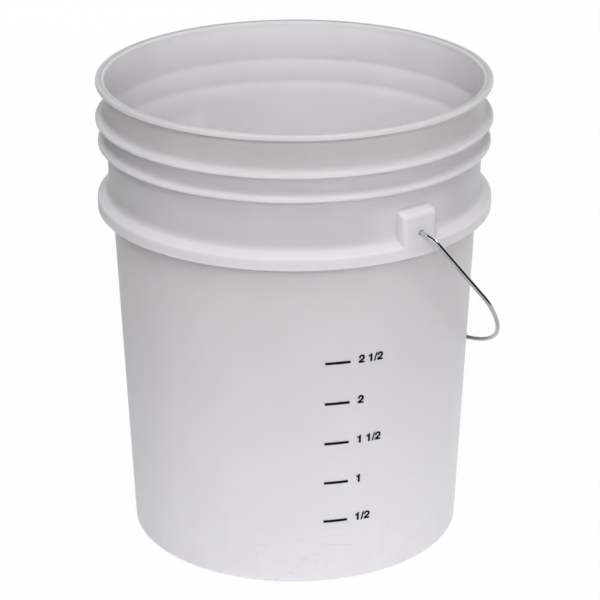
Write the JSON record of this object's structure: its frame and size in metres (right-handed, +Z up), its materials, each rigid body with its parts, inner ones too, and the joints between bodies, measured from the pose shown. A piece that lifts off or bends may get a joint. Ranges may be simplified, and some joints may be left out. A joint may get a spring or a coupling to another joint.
{
  "type": "plastic pail",
  "caption": "Open tapered plastic pail with lid rings, a skirt ring and moulded ears, and a swinging wire bail with a roller grip for carrying.",
  "frame": {"origin": "on the pail's axis, at the plane that its foot ring stands on", "axes": "+Z up along the pail's axis, X along the bail's hinge axis through both ears, and the bail hangs on the +Y side"},
  "size_m": [0.334, 0.3091, 0.3706],
  "materials": {
    "pail_plastic": "natural translucent polyethylene, satin",
    "wire_steel": "bright galvanised wire",
    "grip_plastic": "white moulded plastic"
  },
  "bodies": {
    "pail": {"pail_body": "pail_plastic"},
    "bail": {"bail_wire": "wire_steel"},
    "grip": {"hand_grip": "grip_plastic"}
  },
  "joints": [
    {"name": "bail_swing", "type": "hinge", "parent": "pail", "child": "bail", "pos_m": [0, 0, 0.2855], "axis": [1, 0, 0], "range_deg": [0, 274.5]},
    {"name": "grip_spin", "type": "hinge", "parent": "bail", "child": "grip", "pos_m": [0, 0.1459, 0.12759], "axis": [1, 0, 0], "continuous": true}
  ]
}
